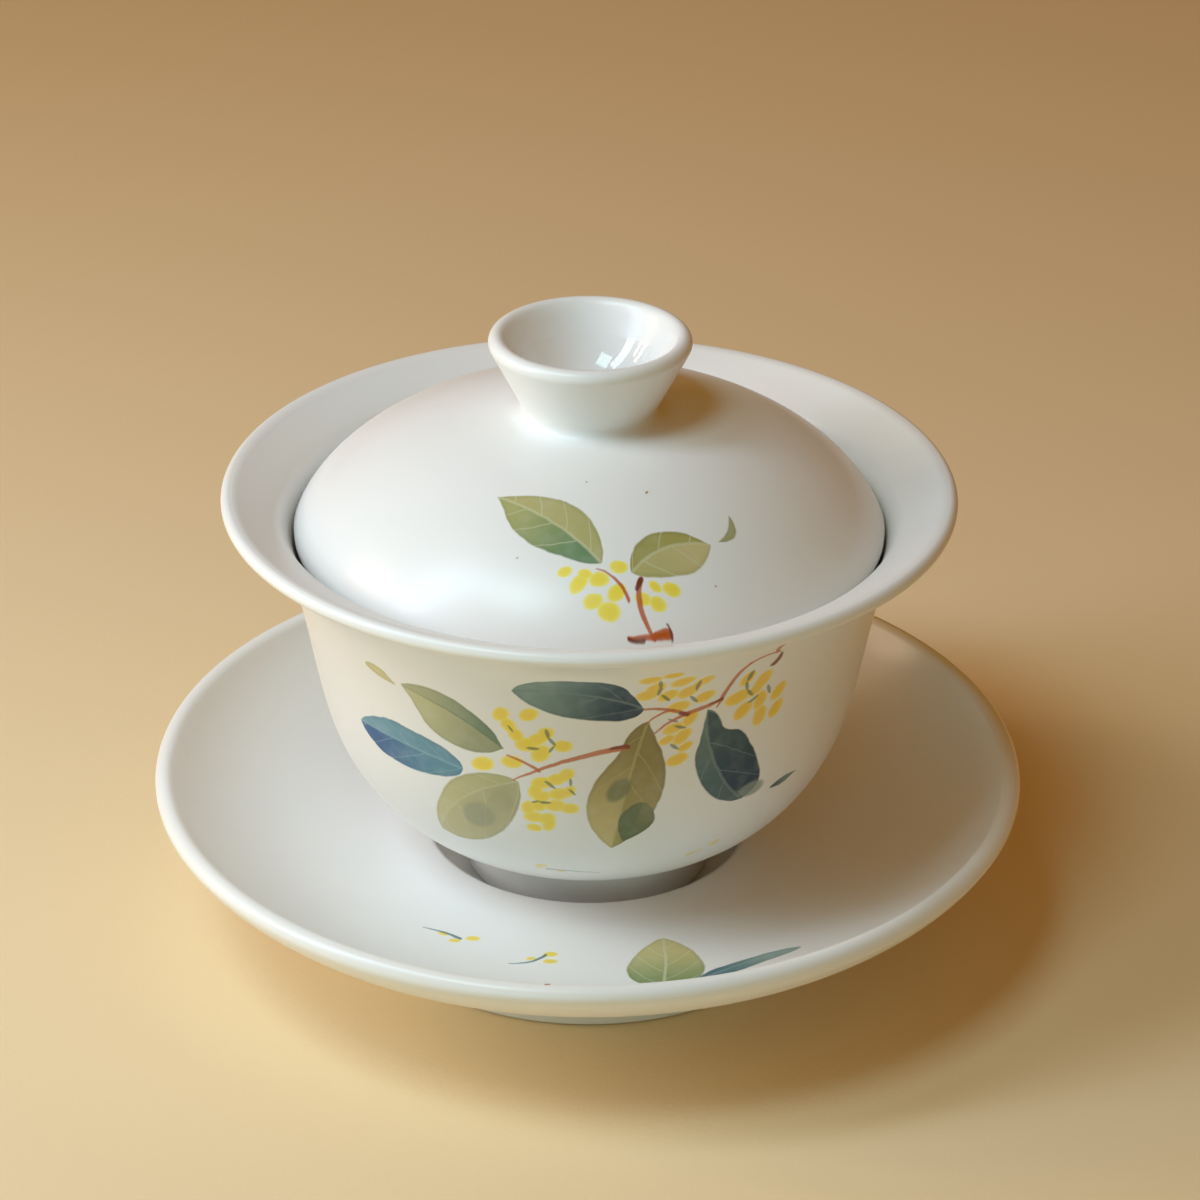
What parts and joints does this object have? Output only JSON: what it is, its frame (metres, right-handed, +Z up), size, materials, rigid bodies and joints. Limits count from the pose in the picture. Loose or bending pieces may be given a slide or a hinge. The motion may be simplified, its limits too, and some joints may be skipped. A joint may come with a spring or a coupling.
{
  "type": "gaiwan",
  "caption": "Lidded tea bowl with a flared flange and a domed lid with a cup-shaped knob, standing in the well of its footed saucer; white porcelain with a painted leaf and blossom spray.",
  "frame": {"origin": "on the table, under the middle of the saucer's foot ring", "axes": "+Z up along the axis that saucer, bowl and lid are turned on; -Y is the side with the painted spray"},
  "size_m": [0.1218, 0.1218, 0.0889],
  "materials": {
    "saucer_porcelain": "satin white glaze with small painted leaves and blossoms, and a bare foot ring",
    "bowl_porcelain": "satin white glaze with a painted spray of green and blue leaves and yellow blossoms, and a bare foot ring",
    "lid_porcelain": "satin white glaze with a small painted spray, glossier inside the knob"
  },
  "bodies": {
    "saucer": {"saucer": "saucer_porcelain"},
    "bowl": {"bowl": "bowl_porcelain"},
    "lid": {"lid": "lid_porcelain"}
  },
  "joints": [
    {"name": "bowl_lift", "type": "slide", "parent": "saucer", "child": "bowl", "axis": [0, 0, 1], "range_m": [0, 0.06]},
    {"name": "lid_lift", "type": "slide", "parent": "bowl", "child": "lid", "axis": [0, 0, 1], "range_m": [0, 0.05]}
  ]
}
